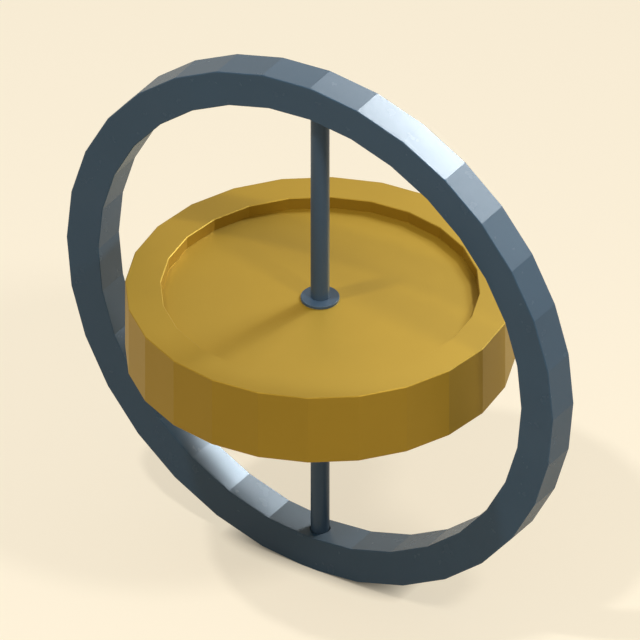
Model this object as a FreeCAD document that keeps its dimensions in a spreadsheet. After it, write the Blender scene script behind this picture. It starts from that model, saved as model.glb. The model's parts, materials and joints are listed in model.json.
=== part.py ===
import FreeCAD, Part
import os
import re

import Sketcher

# A gyroscope: a heavy rotor disc on a thin axle, held by one ring that stands on its lowest corner.
# Millimetres. The origin is in the middle of the foot flat, the axle runs along +Z,
# the ring's own axis is Y, and its front face looks along -Y.

# Counts that the forms of the balls and grooves are built on.
BALL_SECTION_SIDES = 16
GROOVE_SIDES = 8

# Sizes that can each be set alone. The counts of sides and of balls are plain numbers.
DRIVING_SIZES = {
    # Ring
    "ring_sides": "32",
    "ring_across_flats": "122",
    "ring_depth": "8",
    "ring_edge_break": "0.15",
    "foot_length": "7",
    # Rotor
    "rotor_sides": "24",
    "rotor_clearance": "12",
    "rotor_thickness": "16.5",
    "rim_width": "7.5",
    "recess_depth": "2.8",
    "rotor_edge_break": "0.15",
    # Axle and hub flanges
    "axle_diameter": "4",
    "sleeve_wall": "1",
    "sleeve_length": "4.5",
    "flange_lip": "1.1",
    "flange_thickness": "0.65",
    "journal_setback": "0.1",
    # Ball bearings
    "bearing_bore": "3",
    "bearing_outside": "6",
    "bearing_width": "2.5",
    "ball_count": "7",
    "ball_sides": "10",
    "ball_share": "0.53",
    "groove_share": "0.2",
    "cage_rib": "0.15",
    "shield_thickness": "0.15",
    "shield_setback": "0.05",
    "shield_step": "0.2",
    # Bearing seats in the ring
    "seat_wall": "1",
    "upper_setback": "0.4",
    "relief_depth": "0.9",
    # Shims, preload spring and plug
    "shim_thickness": "0.3",
    "spring_height": "0.5",
    "spring_thickness": "0.15",
    "spring_inset": "0.15",
    "plug_setback": "0.3",
    "plug_length": "2.5",
    "slot_width": "0.9",
    "slot_depth": "0.9",
    "small_chamfer": "0.1",
    # Clearances
    "thread_allowance": "0.25",
    "running_clearance": "0.2",
    "shield_clearance": "0.08",
    "cage_clearance": "0.1",
    "pocket_clearance": "0.05",
    "ball_play": "0.02",
    "fit_clearance": "0.01",
}

# Sizes that follow from them.
DERIVED_SIZES = {
    # Ring section, and the height of its centre above the foot
    "ring_width": "bearing_outside + 2 * seat_wall",
    "ring_outer_radius": "ring_across_flats / 2 / cos(180 deg / ring_sides)",
    "ring_inner_radius": "(ring_across_flats / 2 - ring_depth) / cos(180 deg / ring_sides)",
    "foot_depth": "foot_length / 2 * tan(180 deg / ring_sides)",
    "centre_height": "ring_outer_radius - foot_depth",
    # Rotor and hub
    "rotor_radius": "ring_across_flats / 2 - ring_depth - rotor_clearance",
    "recess_radius": "rotor_radius - rim_width",
    "web_half": "rotor_thickness / 2 - recess_depth",
    "axle_radius": "axle_diameter / 2",
    "hub_radius": "axle_radius + sleeve_wall",
    "flange_radius": "hub_radius + flange_lip",
    # Section of a bearing, the same at both ends
    "bearing_radius": "bearing_outside / 2",
    "bore_radius": "bearing_bore / 2",
    "ball_radius": "(bearing_radius - bore_radius) * ball_share / 2",
    "pitch_radius": "(bearing_radius + bore_radius) / 2",
    "groove_radius": "ball_radius + ball_play",
    "groove_corner": f"groove_radius / cos(180 deg / {GROOVE_SIDES})",
    "groove_depth": "2 * ball_radius * groove_share",
    "inner_land_radius": "pitch_radius - groove_radius + groove_depth",
    "outer_land_radius": "pitch_radius + groove_radius - groove_depth",
    "shield_radius": "outer_land_radius + shield_step",
    "shield_bore_radius": "inner_land_radius + shield_clearance",
    "shield_seat_depth": "shield_setback + shield_thickness",
    "pocket_radius": "ball_radius + pocket_clearance",
    "cage_half": "pocket_radius + cage_rib",
    "ball_flat": f"ball_radius * cos(180 deg / ball_sides) * cos(180 deg / {BALL_SECTION_SIDES})",
    # Heights at the lower end of the axle
    "opening_bottom": "centre_height - ring_inner_radius",
    "spring_base": "plug_setback + plug_length",
    "lower_bearing_base": "spring_base + spring_height",
    "lower_bearing_top": "lower_bearing_base + bearing_width",
    "lower_shoulder": "lower_bearing_top + shim_thickness",
    "axle_bottom": "lower_bearing_base + journal_setback",
    # Heights at the upper end of the axle
    "opening_top": "centre_height + ring_inner_radius",
    "upper_bearing_base": "opening_top + upper_setback",
    "upper_bearing_top": "upper_bearing_base + bearing_width",
    "upper_shoulder": "upper_bearing_base - shim_thickness",
    "axle_top": "upper_bearing_top - journal_setback",
    # Radii of the seats and of what fits in them
    "seat_radius": "bearing_radius + fit_clearance",
    "journal_radius": "bore_radius - fit_clearance",
    "plug_hole_radius": "bearing_radius + thread_allowance",
    "plug_radius": "plug_hole_radius - fit_clearance",
    "axle_hole_radius": "axle_radius + running_clearance",
    "shim_radius": "inner_land_radius - fit_clearance",
    "spring_radius": "bearing_radius - spring_inset",
    "spring_bore_radius": "inner_land_radius + running_clearance",
}

SHEET = "Sizes"
FULL_TURN = 360

doc = FreeCAD.newDocument("Gyroscope")
sheet = doc.addObject("Spreadsheet::Sheet", SHEET)


# The sheet of sizes


def fill_sheet():
    rows = list(DRIVING_SIZES.items())
    rows += [(alias, "=" + formula) for alias, formula in DERIVED_SIZES.items()]
    for row, (alias, content) in enumerate(rows, start=1):
        sheet.set(f"A{row}", alias)
        sheet.set(f"B{row}", content)
        sheet.setAlias(f"B{row}", alias)
    doc.recompute()


def on_sheet(formula):
    """The formula with each alias written as a cell of the sheet."""
    aliases = {**DRIVING_SIZES, **DERIVED_SIZES}
    return re.sub(r"[a-z_]+", lambda word: f"{SHEET}.{word[0]}" if word[0] in aliases else word[0], formula)


def value_of(formula):
    return float(sheet.evalExpression(on_sheet(formula)))


def bind(feature, **formulas):
    """Tie properties of a feature to formulas. A double underscore in a name stands for a dot."""
    for name, formula in formulas.items():
        feature.setExpression(name.replace("__", "."), on_sheet(formula))


# Bodies, sketches and features


def new_body(label, height="0", turned_over=False):
    """An empty body whose own origin is on the axle's line, at a height above the foot."""
    body = doc.addObject("PartDesign::Body", label)
    body.Label = label
    if turned_over:
        body.Placement.Rotation = FreeCAD.Rotation(FreeCAD.Vector(1, 0, 0), FULL_TURN / 2)
    bind(body, Placement__Base__z=height)
    return body


def origin_feature(body, role):
    return next(feature for feature in body.Origin.OriginFeatures if feature.Role == role)


def half_plane_sketch(body, name):
    """A sketch on the XZ plane, whose vertical axis is the body's Z axis."""
    sketch = body.newObject("Sketcher::SketchObject", name)
    sketch.AttachmentSupport = (origin_feature(body, "XZ_Plane"), [""])
    sketch.MapMode = "FlatFace"
    return sketch


def pin_point(sketch, geometry, vertex, radius, height):
    """Hold a point of the sketch at a radius and a height, each a formula."""
    for kind, formula in (("DistanceX", radius), ("DistanceY", height)):
        constraint = Sketcher.Constraint(kind, -1, 1, geometry, vertex, value_of(formula))
        name = f"{kind}_{geometry}"
        sketch.renameConstraint(sketch.addConstraint(constraint), name)
        sketch.setExpression(f"Constraints.{name}", on_sheet(formula))


def draw_outline(sketch, outline):
    """A closed outline of straight lines through corners given as (radius, height)."""
    corners = [FreeCAD.Vector(value_of(radius), value_of(height), 0) for radius, height in outline]
    count = len(corners)
    for index, corner in enumerate(corners):
        sketch.addGeometry(Part.LineSegment(corner, corners[(index + 1) % count]), False)
    for index in range(count):
        sketch.addConstraint(Sketcher.Constraint("Coincident", index, 2, (index + 1) % count, 1))
    for index, (radius, height) in enumerate(outline):
        pin_point(sketch, index, 1, radius, height)


def turn(body, name, sketch, kind):
    """Turn the sketch a full turn about the body's Z axis, as added or as removed material."""
    feature = body.newObject(kind, name)
    feature.Profile = sketch
    feature.ReferenceAxis = (sketch, ["V_Axis"])
    feature.Angle = FULL_TURN
    doc.recompute()
    return feature


def turned_solid(body, name, outline):
    sketch = half_plane_sketch(body, name + "_outline")
    draw_outline(sketch, outline)
    return turn(body, name, sketch, "PartDesign::Revolution")


def turned_bore(body, name, outline):
    sketch = half_plane_sketch(body, name + "_outline")
    draw_outline(sketch, outline)
    return turn(body, name, sketch, "PartDesign::Groove")


def polar_pattern(body, name, features, count):
    pattern = body.newObject("PartDesign::PolarPattern", name)
    pattern.Originals = features
    pattern.Axis = (origin_feature(body, "Z_Axis"), [""])
    pattern.Angle = FULL_TURN
    bind(pattern, Occurrences=count)
    body.Tip = pattern
    doc.recompute()
    return pattern


def add_prism(body, name, cut, sides, radius, length, rotation=None, **place):
    """A prism with many sides, whose first corner is on its own X axis."""
    feature = body.newObject("PartDesign::SubtractivePrism" if cut else "PartDesign::AdditivePrism", name)
    if rotation:
        feature.Placement.Rotation = rotation
    bind(feature, Polygon=sides, Circumradius=radius, Height=length, **place)
    doc.recompute()
    return feature


def break_edges(body, name, feature, edge_filter, width):
    """A small chamfer on each edge of the feature that the filter lets through."""
    edges = [f"Edge{number}" for number, edge in enumerate(feature.Shape.Edges, start=1) if edge_filter(edge)]
    chamfer = body.newObject("PartDesign::Chamfer", name)
    chamfer.Base = (feature, edges)
    bind(chamfer, Size=width)
    doc.recompute()
    return chamfer


def is_level(edge):
    start, end = edge.Vertexes
    return abs(end.Z - start.Z) < Part.Precision.confusion()


def runs_across(edge, direction):
    """Whether a straight edge is square to a direction."""
    start, end = (vertex.Point for vertex in edge.Vertexes)
    return abs((end - start).normalize().dot(direction)) < Part.Precision.confusion()


# Ring


def make_ring_frame():
    """A ring of flat facets with a corner at the bottom, a foot flat cut across that corner,
    a stepped hole up through the foot and a blind pocket above, both for a bearing."""
    body = new_body("ring_frame")
    ring_axis = FreeCAD.Vector(0, 1, 0)
    corner_down = FreeCAD.Rotation(FreeCAD.Vector(0, 0, -1), FreeCAD.Vector(-1, 0, 0), ring_axis, "ZXY")
    place = {"Placement__Base__y": "-ring_width / 2", "Placement__Base__z": "centre_height"}
    add_prism(
        body, "ring_outside", False, "ring_sides", "ring_outer_radius", "ring_width", corner_down, **place
    )
    opening = add_prism(
        body, "ring_opening", True, "ring_sides", "ring_inner_radius", "ring_width", corner_down, **place
    )
    break_edges(body, "ring_edges", opening, lambda edge: runs_across(edge, ring_axis), "ring_edge_break")

    foot = body.newObject("PartDesign::SubtractiveBox", "foot_flat")
    bind(
        foot,
        Length="2 * foot_length",
        Width="2 * ring_width",
        Height="2 * foot_depth",
        Placement__Base__x="-foot_length",
        Placement__Base__y="-ring_width",
        Placement__Base__z="-2 * foot_depth",
    )
    doc.recompute()

    inside_ring_low = "opening_bottom + axle_diameter"
    turned_bore(
        body,
        "lower_seat",
        [
            ("0", "0"),
            ("plug_hole_radius", "0"),
            ("plug_hole_radius", "spring_base"),
            ("seat_radius", "spring_base"),
            ("seat_radius", "lower_bearing_top"),
            ("axle_hole_radius", "lower_bearing_top"),
            ("axle_hole_radius", inside_ring_low),
            ("0", inside_ring_low),
        ],
    )
    inside_ring_high = "opening_top - axle_diameter"
    relief_top = "upper_bearing_top + relief_depth"
    turned_bore(
        body,
        "upper_seat",
        [
            ("0", inside_ring_high),
            ("seat_radius", inside_ring_high),
            ("seat_radius", "upper_bearing_top"),
            ("outer_land_radius", "upper_bearing_top"),
            ("outer_land_radius", relief_top),
            ("0", relief_top),
        ],
    )
    return body


# Rotor, axle and hub


def make_rotor_disc():
    """A thick disc of flat facets with a raised rim, a recessed web on both faces and a bore."""
    body = new_body("rotor_disc", "centre_height - rotor_thickness / 2")
    add_prism(body, "disc_outside", False, "rotor_sides", "rotor_radius", "rotor_thickness")
    add_prism(body, "lower_recess", True, "rotor_sides", "recess_radius", "recess_depth")
    recess_floor = {"Placement__Base__z": "rotor_thickness - recess_depth"}
    disc = add_prism(
        body, "upper_recess", True, "rotor_sides", "recess_radius", "recess_depth", None, **recess_floor
    )
    middle = value_of("rotor_thickness") / 2

    def on_rim_face(edge):
        from_face = middle - abs(edge.Vertexes[0].Z - middle)
        return is_level(edge) and from_face < Part.Precision.confusion()

    break_edges(body, "rim_edges", disc, on_rim_face, "rotor_edge_break")
    turned_bore(
        body,
        "hub_bore",
        [
            ("0", "0"),
            ("hub_radius", "0"),
            ("hub_radius", "rotor_thickness"),
            ("0", "rotor_thickness"),
        ],
    )
    return body


def make_axle():
    """A round shaft with a thinner journal at each end, which stops short of its bearing's far face."""
    body = new_body("axle")
    turned_solid(
        body,
        "shaft",
        [
            ("0", "axle_bottom"),
            ("journal_radius", "axle_bottom"),
            ("journal_radius", "lower_shoulder"),
            ("axle_radius", "lower_shoulder"),
            ("axle_radius", "upper_shoulder"),
            ("journal_radius", "upper_shoulder"),
            ("journal_radius", "axle_top"),
            ("0", "axle_top"),
        ],
    )
    return body


def make_hub_flange(label, height, turned_over):
    """A flanged bush: its sleeve sits in the rotor's bore, its flange on the recessed web."""
    body = new_body(label, height, turned_over)
    bore = "axle_radius + fit_clearance"
    sleeve = "hub_radius - fit_clearance"
    top = "sleeve_length + flange_thickness"
    turned_solid(
        body,
        label + "_turning",
        [
            (bore, "0"),
            (sleeve, "0"),
            (sleeve, "sleeve_length"),
            ("flange_radius", "sleeve_length"),
            ("flange_radius", top + " - small_chamfer"),
            ("flange_radius - small_chamfer", top),
            (bore, top),
        ],
    )
    return body


# Ball bearings


def cut_ball_groove(body, name):
    """The ball groove in a race, an eight-sided section drawn round the groove's circle."""
    sketch = half_plane_sketch(body, name + "_section")
    outline = []
    for side in range(GROOVE_SIDES):
        angle = (2 * side + 1) * FULL_TURN / 2 / GROOVE_SIDES
        radius = f"pitch_radius + groove_corner * cos({angle} deg)"
        height = f"bearing_width / 2 + groove_corner * sin({angle} deg)"
        outline.append((radius, height))
    draw_outline(sketch, outline)
    turn(body, name, sketch, "PartDesign::Groove")


def make_outer_race(label, height):
    """An outer race with a ball groove inside and a step at each face for a shield."""
    body = new_body(label, height)
    upper_step = "bearing_width - shield_seat_depth"
    turned_solid(
        body,
        label + "_blank",
        [
            ("outer_land_radius", "shield_seat_depth"),
            ("shield_radius", "shield_seat_depth"),
            ("shield_radius", "0"),
            ("bearing_radius - small_chamfer", "0"),
            ("bearing_radius", "small_chamfer"),
            ("bearing_radius", "bearing_width - small_chamfer"),
            ("bearing_radius - small_chamfer", "bearing_width"),
            ("shield_radius", "bearing_width"),
            ("shield_radius", upper_step),
            ("outer_land_radius", upper_step),
        ],
    )
    cut_ball_groove(body, label + "_groove")
    return body


def make_inner_race(label, height):
    body = new_body(label, height)
    turned_solid(
        body,
        label + "_blank",
        [
            ("bore_radius", "0"),
            ("inner_land_radius", "0"),
            ("inner_land_radius", "bearing_width"),
            ("bore_radius", "bearing_width"),
        ],
    )
    cut_ball_groove(body, label + "_groove")
    return body


def make_balls(label, height):
    """Balls of flat facets, whose corners lie on the true ball. Each chamfer doubles the
    number of sides that a ball's section has."""
    body = new_body(label, height)
    ball = add_prism(
        body,
        label + "_blank",
        False,
        "ball_sides",
        "ball_flat / cos(180 deg / ball_sides)",
        "2 * ball_flat",
        None,
        Placement__Base__x="pitch_radius",
        Placement__Base__z="bearing_width / 2 - ball_flat",
    )
    steps = [ball]
    sides = 4
    while sides < BALL_SECTION_SIDES:
        width = f"ball_flat * (tan(180 deg / {sides}) - tan(90 deg / {sides}))"
        steps.append(break_edges(body, f"{label}_facets_{sides}", steps[-1], is_level, width))
        sides *= 2
    polar_pattern(body, label + "_set", steps, "ball_count")
    return body


def make_cage(label, height):
    """A crown cage: a ring between the races with one slot for each ball, open at the top."""
    body = new_body(label, height)
    inside = "inner_land_radius + cage_clearance"
    outside = "outer_land_radius - cage_clearance"
    low = "bearing_width / 2 - cage_half"
    high = "bearing_width / 2 + cage_half"
    turned_solid(body, label + "_blank", [(inside, low), (outside, low), (outside, high), (inside, high)])
    slot = body.newObject("PartDesign::SubtractiveBox", label + "_slot")
    bind(
        slot,
        Length="bearing_radius",
        Width="2 * pocket_radius",
        Height="2 * cage_half",
        Placement__Base__y="-pocket_radius",
        Placement__Base__z="bearing_width / 2 - pocket_radius",
    )
    doc.recompute()
    polar_pattern(body, label + "_slots", [slot], "ball_count")
    return body


def make_washer(label, height, inside, outside, thickness):
    """A flat ring: a bearing shield or a shim."""
    body = new_body(label, height)
    turned_solid(
        body,
        label + "_ring",
        [(inside, "0"), (outside, "0"), (outside, thickness), (inside, thickness)],
    )
    return body


def make_bearing(end, base):
    """A shielded ball bearing whose lower face is at a height."""
    low_shield = f"{base} + shield_setback"
    high_shield = f"{base} + bearing_width - shield_seat_depth"
    shield = ("shield_bore_radius", "shield_radius", "shield_thickness")
    return [
        make_outer_race(f"{end}_bearing_outer_race", base),
        make_inner_race(f"{end}_bearing_inner_race", base),
        make_balls(f"{end}_bearing_balls", base),
        make_cage(f"{end}_bearing_cage", base),
        make_washer(f"{end}_bearing_bottom_shield", low_shield, *shield),
        make_washer(f"{end}_bearing_top_shield", high_shield, *shield),
    ]


# Small hardware at the foot


def make_preload_spring():
    """A disc spring: its bore rests on the plug, its rim pushes on the lower outer race."""
    body = new_body("preload_spring", "spring_base")
    turned_solid(
        body,
        "spring_cone",
        [
            ("spring_bore_radius", "0"),
            ("spring_radius", "spring_height - spring_thickness"),
            ("spring_radius", "spring_height"),
            ("spring_bore_radius", "spring_thickness"),
        ],
    )
    return body


def make_bearing_plug():
    """The threaded plug that closes the hole in the foot, with a slot across its lower face."""
    body = new_body("bearing_plug", "plug_setback")
    turned_solid(
        body,
        "plug_blank",
        [
            ("0", "0"),
            ("plug_radius - small_chamfer", "0"),
            ("plug_radius", "small_chamfer"),
            ("plug_radius", "plug_length"),
            ("0", "plug_length"),
        ],
    )
    slot = body.newObject("PartDesign::SubtractiveBox", "driver_slot")
    bind(
        slot,
        Length="slot_width",
        Width="2 * bearing_outside",
        Height="slot_depth",
        Placement__Base__x="-slot_width / 2",
        Placement__Base__y="-bearing_outside",
    )
    doc.recompute()
    return body


# Assembly


def make_all():
    shim = ("journal_radius + fit_clearance", "shim_radius", "shim_thickness")
    bodies = [
        make_ring_frame(),
        make_rotor_disc(),
        make_axle(),
        make_hub_flange("upper_hub_flange", "centre_height + web_half - sleeve_length", False),
        make_hub_flange("lower_hub_flange", "centre_height - web_half + sleeve_length", True),
        make_washer("upper_shim", "upper_shoulder", *shim),
        make_washer("lower_shim", "lower_bearing_top", *shim),
        make_preload_spring(),
        make_bearing_plug(),
    ]
    bodies += make_bearing("upper", "upper_bearing_base")
    bodies += make_bearing("lower", "lower_bearing_base")
    return bodies


def check_document(bodies):
    for thing in doc.Objects:
        if "Invalid" in thing.State or "Error" in thing.State:
            raise RuntimeError(f"{thing.Label}: {thing.State}")
    for body in bodies:
        if body.Shape.isNull() or not body.Shape.isValid():
            raise RuntimeError(f"{body.Label}: bad shape")
        solids = len(body.Shape.Solids)
        print(f"{body.Label}: {solids} solid(s), {body.Shape.Volume:.3f} mm3")


fill_sheet()
all_bodies = make_all()
doc.recompute()
check_document(all_bodies)
os.makedirs("parts", exist_ok=True)
for node in all_bodies:
    node.Shape.exportStep(f"parts/{node.Label}.step")
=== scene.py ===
import json
import math
from collections import namedtuple

import bpy
from mathutils import Euler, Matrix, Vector


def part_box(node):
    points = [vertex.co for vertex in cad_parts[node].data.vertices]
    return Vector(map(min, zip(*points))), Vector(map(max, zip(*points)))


# Looks for a gyroscope: a thick brass rotor in an upright ring of painted steel.
# Metres. The CAD solids are shown as they are, and this file gives them their finishes,
# the ground, the lamps and the camera.

# The photograph's view
PHOTO_PIXELS = 640
RING_RADIUS_PIXELS = 292.05
RING_CENTRE_PIXEL = (320.09, 319.82)
CAMERA_AZIMUTH = math.radians(33.62)
CAMERA_ELEVATION = math.radians(34.66)
CAMERA_DISTANCE = 1.2

# Ground and backdrop: its colour, the share of the light on it that it gives back, its own light,
# and how near the object must be for that light to be dimmed into a painted contact shadow
GROUND_COLOUR = (0.947, 0.847, 0.665, 1)
GROUND_SHARE = 0.45
GROUND_OWN_LIGHT = 0.70
PAINTED_SHADOW_REACH = 0.004
PAINTED_SHADOW_SAMPLES = 16
GROUND_RADIUS = 3.0
GROUND_SIDES = 96

# Lamps: azimuth and elevation in degrees as seen from the ring's centre, distance and width in
# metres, and the level to which a white matt surface that faces the lamp is lit
Lamp = namedtuple("Lamp", "azimuth elevation distance width level colour")
WHITE = (1.0, 1.0, 1.0)
PALE_BLUE = (0.86, 0.94, 1.0)
SKY_BLUE = (0.70, 0.86, 1.0)
LAMPS = {
    "front_lamp": Lamp(-122.8, 67, 0.8, 0.05, 0.34, WHITE),
    "right_lamp": Lamp(-13.0, 45, 0.36, 0.05, 0.38, WHITE),
}
# Lamps that show only as gloss: on the brass, on the ring's facets under its top corner and on
# its inner facets under the rotor
GLOSS_LAMPS = {
    "near_gloss_lamp": Lamp(77.5, 50.5, 0.35, 0.03, 0.70, PALE_BLUE),
    "upper_gloss_lamp": Lamp(82.0, 47.0, 0.6, 0.16, 0.40, PALE_BLUE),
    "side_gloss_lamp": Lamp(62.0, 37.0, 0.6, 0.16, 0.36, PALE_BLUE),
    "inner_gloss_lamp": Lamp(70.0, 37.0, 0.32, 0.06, 1.35, SKY_BLUE),
}
SKY_LEVEL = 0.32

# Square edges: how wide they are rubbed and how strongly, and the cosines between the rounded and
# the flat normal at which a place counts as edge and at which it doesn't
EDGE_WIDTH = 0.0003
EDGE_RUB = 0.6
EDGE_SAMPLES = 4
EDGE_COSINES = (0.80, 0.97)

# Finishes. Tones are the darkest and palest that a colour gets, sizes are those of the clouds,
# patches and bumps, patches are the noise at which rubbing starts and is full, and rubbed is how
# many times paler it gets.
PAINT_TONES = (0.92, 1.08)
PAINT_CLOUD_SIZE = 0.018
PAINT_RUB_SIZE = 0.006
PAINT_RUB_PATCHES = (0.40, 0.65)
PAINT_RUBBED = 2.2
PAINT_REFLECTION = 0.25
PAINT_GLOSS_SIZE = 0.004
PAINT_ROUGHNESS_SPREAD = (0.95, 1.05)
ORANGE_PEEL_SIZE = 0.0012
ORANGE_PEEL_DEPTH = 0.000006

BRASS_TONES = (0.95, 1.05)
BRASS_CLOUD_SIZE = 0.014
BRASS_RUB_SIZE = 0.005
BRASS_RUB_PATCHES = (0.35, 0.65)
BRASS_RUBBED = 1.15
BRASS_METAL_SHARE = 0.5
BRASS_REFLECTION = 0.25
BRASS_GLOSS_SIZE = 0.003
BRASS_ROUGHNESS = (0.50, 0.54)
LATHE_RING_SIZE = 0.0007
LATHE_RING_DEPTH = 0.000008

STEEL_TONES = (0.94, 1.04)
STEEL_CLOUD_SIZE = 0.002
STEEL_ROUGHNESS_SPREAD = (0.9, 1.1)
STEEL_GRAIN_SIZE = 0.0003
STEEL_GRAIN_DEPTH = 0.000002

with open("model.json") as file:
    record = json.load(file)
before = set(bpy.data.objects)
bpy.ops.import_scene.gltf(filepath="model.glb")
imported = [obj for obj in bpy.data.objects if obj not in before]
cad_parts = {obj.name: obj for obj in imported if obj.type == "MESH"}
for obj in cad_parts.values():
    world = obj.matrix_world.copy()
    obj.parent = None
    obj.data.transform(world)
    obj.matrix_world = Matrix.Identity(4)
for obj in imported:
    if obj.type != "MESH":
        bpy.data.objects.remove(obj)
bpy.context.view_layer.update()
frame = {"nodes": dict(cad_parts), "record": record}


# Shader nodes


def feed(links, socket, value):
    """Link an output to a socket, or set the socket to a number or colour."""
    if isinstance(value, bpy.types.NodeSocket):
        links.new(value, socket)
    else:
        socket.default_value = value


def combine(nodes, links, operation, first, second):
    """A Math node's result for two values, each an output or a number."""
    combined = nodes.new("ShaderNodeMath")
    combined.operation = operation
    feed(links, combined.inputs[0], first)
    feed(links, combined.inputs[1], second)
    return combined.outputs["Value"]


def shade(colour, factor):
    return (*(channel * factor for channel in colour), 1)


class Shader:
    """A material and the few calls that its nodes are made with."""

    def __init__(self, name):
        self.material = bpy.data.materials.new(name)
        self.material.use_nodes = True
        self.nodes = self.material.node_tree.nodes
        self.links = self.material.node_tree.links
        self.surface = self.nodes["Principled BSDF"]
        self.place = self.nodes.new("ShaderNodeTexCoord").outputs["Object"]

    def feed(self, socket, value):
        feed(self.links, socket, value)

    def noise(self, size, detail, place=None):
        """Noise from 0 to 1 whose features are about so many metres wide."""
        noise = self.nodes.new("ShaderNodeTexNoise")
        noise.inputs["Scale"].default_value = 1 / size
        noise.inputs["Detail"].default_value = detail
        self.feed(noise.inputs["Vector"], place or self.place)
        return noise.outputs["Fac"]

    def ramp(self, factor, low, high, start=0.0, end=1.0):
        """The factor between start and end, mapped to numbers from low to high."""
        mapped = self.nodes.new("ShaderNodeMapRange")
        mapped.inputs["From Min"].default_value = start
        mapped.inputs["From Max"].default_value = end
        mapped.inputs["To Min"].default_value = low
        mapped.inputs["To Max"].default_value = high
        self.feed(mapped.inputs["Value"], factor)
        return mapped.outputs["Result"]

    def mix(self, factor, first, second):
        mixed = self.nodes.new("ShaderNodeMix")
        mixed.data_type = "RGBA"
        self.feed(mixed.inputs["Factor"], factor)
        self.feed(mixed.inputs["A"], first)
        self.feed(mixed.inputs["B"], second)
        return mixed.outputs["Result"]

    def tones(self, factor, colour, darkest, palest):
        """The colour, from its darkest where the factor is 0 to its palest where it is 1."""
        return self.mix(factor, shade(colour, darkest), shade(colour, palest))

    def radius(self):
        """The distance from the axle's line, as a place to look a noise up at."""
        flat = self.nodes.new("ShaderNodeVectorMath")
        flat.operation = "MULTIPLY"
        flat.inputs[1].default_value = (1, 1, 0)
        self.feed(flat.inputs[0], self.place)
        length = self.nodes.new("ShaderNodeVectorMath")
        length.operation = "LENGTH"
        self.feed(length.inputs[0], flat.outputs["Vector"])
        return length.outputs["Value"]

    def edges(self):
        """1 on the piece's square edges and 0 away from them. The flat angles between facets
        don't count."""
        rounded = self.nodes.new("ShaderNodeBevel")
        rounded.samples = EDGE_SAMPLES
        rounded.inputs["Radius"].default_value = EDGE_WIDTH
        geometry = self.nodes.new("ShaderNodeNewGeometry")
        turned = self.nodes.new("ShaderNodeVectorMath")
        turned.operation = "DOT_PRODUCT"
        self.feed(turned.inputs[0], rounded.outputs["Normal"])
        self.feed(turned.inputs[1], geometry.outputs["Normal"])
        on_edge, off_edge = EDGE_COSINES
        return self.ramp(turned.outputs["Value"], 1, 0, start=on_edge, end=off_edge)

    def rub_edges(self, tone, rubbed_colour, size, patches):
        """The tone, with its square edges rubbed towards another colour here and there."""
        start, end = patches
        rub = self.ramp(self.noise(size, detail=4), 0.0, EDGE_RUB, start=start, end=end)
        rubbed = self.mix(rub, tone, rubbed_colour)
        return self.mix(self.edges(), tone, rubbed)

    def bump(self, height, depth):
        bump = self.nodes.new("ShaderNodeBump")
        bump.inputs["Distance"].default_value = depth
        self.feed(bump.inputs["Height"], height)
        self.feed(self.surface.inputs["Normal"], bump.outputs["Normal"])

    def set(self, **values):
        for name, value in values.items():
            self.feed(self.surface.inputs[name.replace("_", " ")], value)


def painted_slate(name, colour, roughness, anisotropy=0.0):
    """Satin paint on steel: faint clouding, a fine orange peel, and edges rubbed a little paler
    here and there. With an anisotropy, as where the steel under it was brushed across the ring,
    its gloss spreads round the ring."""
    shader = Shader(name)
    tone = shader.tones(shader.noise(PAINT_CLOUD_SIZE, detail=3), colour, *PAINT_TONES)
    rubbed = shade(colour, PAINT_RUBBED)
    shader.set(Base_Color=shader.rub_edges(tone, rubbed, PAINT_RUB_SIZE, PAINT_RUB_PATCHES))
    shader.set(Metallic=0.0, Specular_IOR_Level=PAINT_REFLECTION, Anisotropic=anisotropy)
    if anisotropy:
        tangent = shader.nodes.new("ShaderNodeTangent")
        tangent.direction_type = "RADIAL"
        tangent.axis = "Y"
        shader.set(Tangent=tangent.outputs["Tangent"])
    gloss = shader.noise(PAINT_GLOSS_SIZE, detail=4)
    least, most = PAINT_ROUGHNESS_SPREAD
    shader.set(Roughness=shader.ramp(gloss, roughness * least, roughness * most))
    shader.bump(shader.noise(ORANGE_PEEL_SIZE, detail=2), ORANGE_PEEL_DEPTH)
    return shader.material


def turned_brass(name, colour):
    """Lacquered brass: faint clouding, very fine rings round the axle's line from the lathe, and
    edges polished a little paler."""
    shader = Shader(name)
    tone = shader.tones(shader.noise(BRASS_CLOUD_SIZE, detail=4), colour, *BRASS_TONES)
    rubbed = shade(colour, BRASS_RUBBED)
    shader.set(Base_Color=shader.rub_edges(tone, rubbed, BRASS_RUB_SIZE, BRASS_RUB_PATCHES))
    shader.set(Metallic=BRASS_METAL_SHARE, Specular_IOR_Level=BRASS_REFLECTION)
    shader.set(Roughness=shader.ramp(shader.noise(BRASS_GLOSS_SIZE, detail=4), *BRASS_ROUGHNESS))
    rings = shader.noise(LATHE_RING_SIZE, detail=1, place=shader.radius())
    shader.bump(rings, LATHE_RING_DEPTH)
    return shader.material


def plain_steel(name, colour, roughness):
    """Bare steel: faint clouding, a little rougher where it is paler, and a very fine grain."""
    shader = Shader(name)
    clouds = shader.noise(STEEL_CLOUD_SIZE, detail=3)
    shader.set(Base_Color=shader.tones(clouds, colour, *STEEL_TONES), Metallic=1.0)
    least, most = STEEL_ROUGHNESS_SPREAD
    shader.set(Roughness=shader.ramp(clouds, roughness * least, roughness * most))
    shader.bump(shader.noise(STEEL_GRAIN_SIZE, detail=2), STEEL_GRAIN_DEPTH)
    return shader.material


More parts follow.
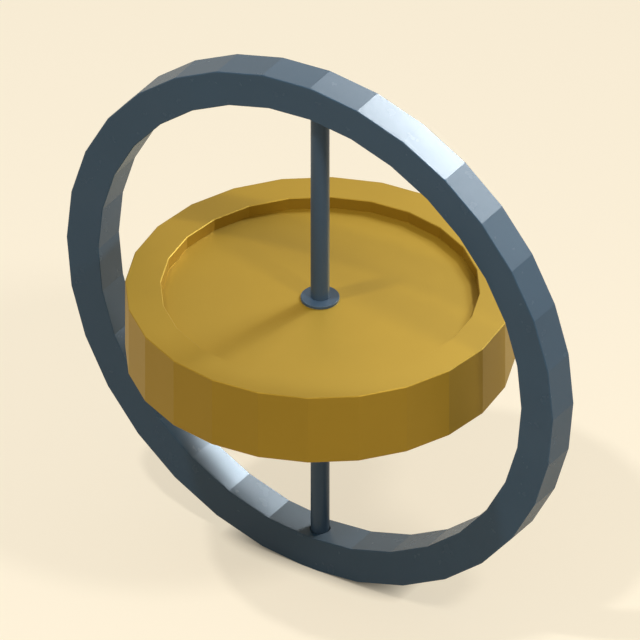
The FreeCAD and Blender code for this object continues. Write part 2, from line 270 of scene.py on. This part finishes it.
FINISHES = {
    "slate_paint": painted_slate("ring_slate_paint", (0.0385, 0.087, 0.140), 0.27, anisotropy=1.0),
    "slate_steel": painted_slate("axle_slate_paint", (0.060, 0.104, 0.158), 0.40),
    "rotor_brass": turned_brass("rotor_turned_brass", (0.347, 0.213, 0.018)),
    "cage_brass": turned_brass("cage_pressed_brass", (0.60, 0.42, 0.14)),
    "bearing_steel": plain_steel("ground_bearing_steel", (0.56, 0.57, 0.58), 0.3),
    "polished_steel": plain_steel("polished_ball_steel", (0.72, 0.73, 0.75), 0.08),
    "spring_steel": plain_steel("rolled_spring_steel", (0.48, 0.49, 0.50), 0.35),
}


def dress_nodes():
    """Give each CAD node the finish of its material slot in the record."""
    slots = {part["node"]: part["material_slot"] for part in frame["record"]["subparts"]}
    for name, node in frame["nodes"].items():
        for slot in node.material_slots:
            slot.material = FINISHES[slots[name]]


# Ground, lamps and camera


def sees_background(nodes, links):
    """1 for the rays that see the background as it is: camera, gloss and transmission rays."""
    path = nodes.new("ShaderNodeLightPath")
    seen = path.outputs["Is Camera Ray"]
    for kind in ("Is Glossy Ray", "Is Transmission Ray"):
        seen = combine(nodes, links, "MAXIMUM", seen, path.outputs[kind])
    return seen


def ground_material():
    """A pale ground that keeps the shadows, most of it its own light to camera and gloss rays.
    Its own light is dimmed close under the object, which paints a contact shadow there."""
    material = bpy.data.materials.new("pale_ground")
    material.use_nodes = True
    nodes = material.node_tree.nodes
    links = material.node_tree.links
    output = nodes["Material Output"]
    nodes.remove(nodes["Principled BSDF"])
    matt = nodes.new("ShaderNodeBsdfDiffuse")
    matt.inputs["Color"].default_value = shade(GROUND_COLOUR[:3], GROUND_SHARE)
    glow = nodes.new("ShaderNodeEmission")
    glow.inputs["Color"].default_value = GROUND_COLOUR
    # Painted contact shadow: ambient occlusion dims the ground's own light close under the object
    painted_shadow = nodes.new("ShaderNodeAmbientOcclusion")
    painted_shadow.samples = PAINTED_SHADOW_SAMPLES
    painted_shadow.inputs["Distance"].default_value = PAINTED_SHADOW_REACH
    own_light = combine(nodes, links, "MULTIPLY", painted_shadow.outputs["AO"], GROUND_OWN_LIGHT)
    seen_light = combine(nodes, links, "MULTIPLY", own_light, sees_background(nodes, links))
    links.new(seen_light, glow.inputs["Strength"])
    both = nodes.new("ShaderNodeAddShader")
    links.new(matt.outputs["BSDF"], both.inputs[0])
    links.new(glow.outputs["Emission"], both.inputs[1])
    links.new(both.outputs["Shader"], output.inputs["Surface"])
    return material


def make_ground():
    corners = []
    for side in range(GROUND_SIDES):
        angle = 2 * math.pi * side / GROUND_SIDES
        corners.append((GROUND_RADIUS * math.cos(angle), GROUND_RADIUS * math.sin(angle), 0))
    mesh = bpy.data.meshes.new("ground")
    mesh.from_pydata(corners, [], [list(range(GROUND_SIDES))])
    ground = bpy.data.objects.new("ground", mesh)
    bpy.context.scene.collection.objects.link(ground)
    mesh.materials.append(ground_material())


def make_world():
    """An even sky that lights the object, and that the camera and gloss see in the ground's
    colour."""
    world = bpy.data.worlds.new("studio")
    bpy.context.scene.world = world
    world.use_nodes = True
    nodes = world.node_tree.nodes
    links = world.node_tree.links
    sky = nodes["Background"]
    sky.inputs["Color"].default_value = (*WHITE, 1)
    sky.inputs["Strength"].default_value = SKY_LEVEL
    backdrop = nodes.new("ShaderNodeBackground")
    backdrop.inputs["Color"].default_value = GROUND_COLOUR
    backdrop.inputs["Strength"].default_value = 1
    both = nodes.new("ShaderNodeMixShader")
    links.new(sees_background(nodes, links), both.inputs["Fac"])
    links.new(sky.outputs["Background"], both.inputs[1])
    links.new(backdrop.outputs["Background"], both.inputs[2])
    links.new(both.outputs["Shader"], nodes["World Output"].inputs["Surface"])


def make_lamp(name, settings, target):
    """A round lamp that shines at the target. A matt white surface gives a lamp's light back as
    its power over the square of pi times the distance, which is the level."""
    lamp = bpy.data.lights.new(name, "AREA")
    lamp.shape = "DISK"
    lamp.size = settings.width
    lamp.energy = settings.level * (math.pi * settings.distance) ** 2
    lamp.color = settings.colour
    holder = bpy.data.objects.new(name, lamp)
    way = Vector((settings.distance, 0, 0))
    way.rotate(Euler((0, -math.radians(settings.elevation), math.radians(settings.azimuth))))
    holder.location = target + way
    holder.rotation_euler = (target - holder.location).to_track_quat("-Z", "Y").to_euler()
    holder.visible_camera = False
    bpy.context.scene.collection.objects.link(holder)
    return holder


def make_camera(centre, ring_radius):
    """A camera with no perspective, aimed so that the ring's centre lands on its pixel."""
    metres_per_pixel = ring_radius / RING_RADIUS_PIXELS
    level = Vector((math.cos(CAMERA_AZIMUTH), math.sin(CAMERA_AZIMUTH), 0))
    outward = Vector((math.sin(CAMERA_AZIMUTH), -math.cos(CAMERA_AZIMUTH), 0))
    outward *= math.cos(CAMERA_ELEVATION)
    outward.z = math.sin(CAMERA_ELEVATION)
    upward = outward.cross(level)
    across = (RING_CENTRE_PIXEL[0] - PHOTO_PIXELS / 2) * metres_per_pixel
    down = (RING_CENTRE_PIXEL[1] - PHOTO_PIXELS / 2) * metres_per_pixel
    aim = centre - level * across + upward * down
    camera = bpy.data.cameras.new("photo_camera")
    camera.type = "ORTHO"
    camera.ortho_scale = PHOTO_PIXELS * metres_per_pixel
    holder = bpy.data.objects.new("photo_camera", camera)
    holder.location = aim + outward * CAMERA_DISTANCE
    holder.rotation_euler = (-outward).to_track_quat("-Z", "Y").to_euler()
    bpy.context.scene.collection.objects.link(holder)
    bpy.context.scene.camera = holder


ring_low, ring_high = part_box("ring_frame")
ring_radius = (ring_high.x - ring_low.x) / 2
ring_centre = Vector((0, 0, ring_high.z - ring_radius))

dress_nodes()
make_ground()
make_world()
for lamp_name, lamp_settings in LAMPS.items():
    make_lamp(lamp_name, lamp_settings, ring_centre)
for lamp_name, lamp_settings in GLOSS_LAMPS.items():
    make_lamp(lamp_name, lamp_settings, ring_centre).visible_diffuse = False
make_camera(ring_centre, ring_radius)
bpy.context.scene.view_settings.view_transform = "Standard"
